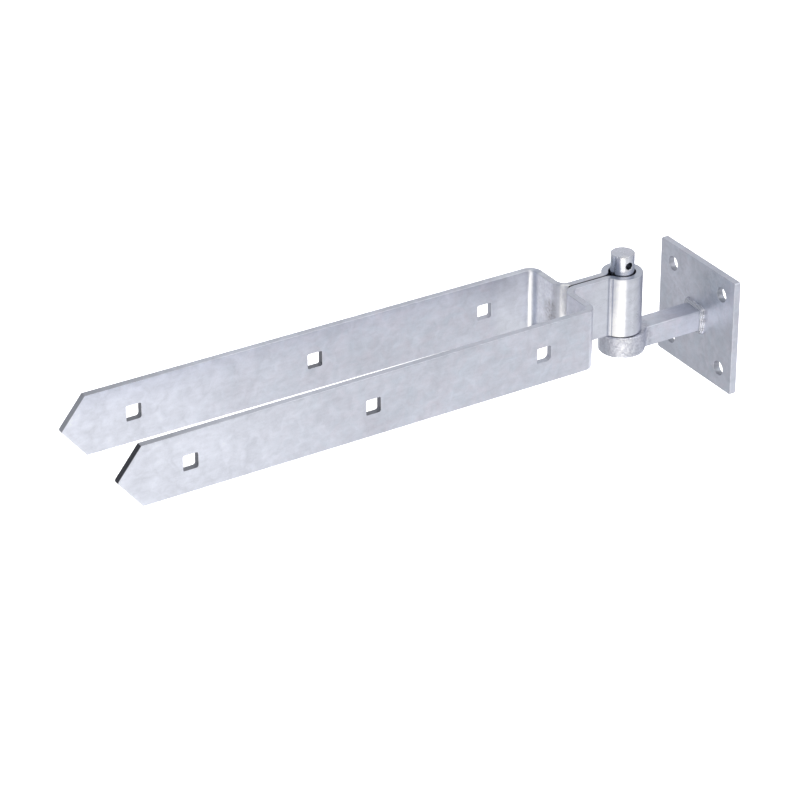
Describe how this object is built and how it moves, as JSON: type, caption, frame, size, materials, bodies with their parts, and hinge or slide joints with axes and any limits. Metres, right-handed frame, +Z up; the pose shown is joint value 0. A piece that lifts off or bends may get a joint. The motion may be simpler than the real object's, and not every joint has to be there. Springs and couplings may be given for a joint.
{
  "type": "hook and band gate hinge",
  "caption": "Gate hinge: a folded double-strap band swings on the pin of a hook welded to a post plate.",
  "frame": {"origin": "middle of the four bolt holes, on the plate's back face, where it meets the post", "axes": "+X out of the plate's back into the post, +Z up along the pin, straps along -X"},
  "size_m": [0.5551, 0.1, 0.1265],
  "materials": {
    "band_zinc": "hot-dip galvanised, satin, mottled",
    "plate_zinc": "hot-dip galvanised, satin, mottled",
    "forged_zinc": "hot-dip galvanised, satin, mottled",
    "pin_zinc": "hot-dip galvanised, satin, mottled",
    "weld_zinc": "hot-dip galvanised, satin, mottled"
  },
  "bodies": {
    "hook": {"post_plate": "plate_zinc", "hook_arm": "forged_zinc", "weld_bead": "weld_zinc", "pin": "pin_zinc"},
    "band": {"band": "band_zinc"}
  },
  "joints": [
    {"name": "band_swing", "type": "hinge", "parent": "hook", "child": "band", "pos_m": [-0.08, 0, 0], "axis": [0, 0, 1], "range_deg": [-112, 112]}
  ]
}
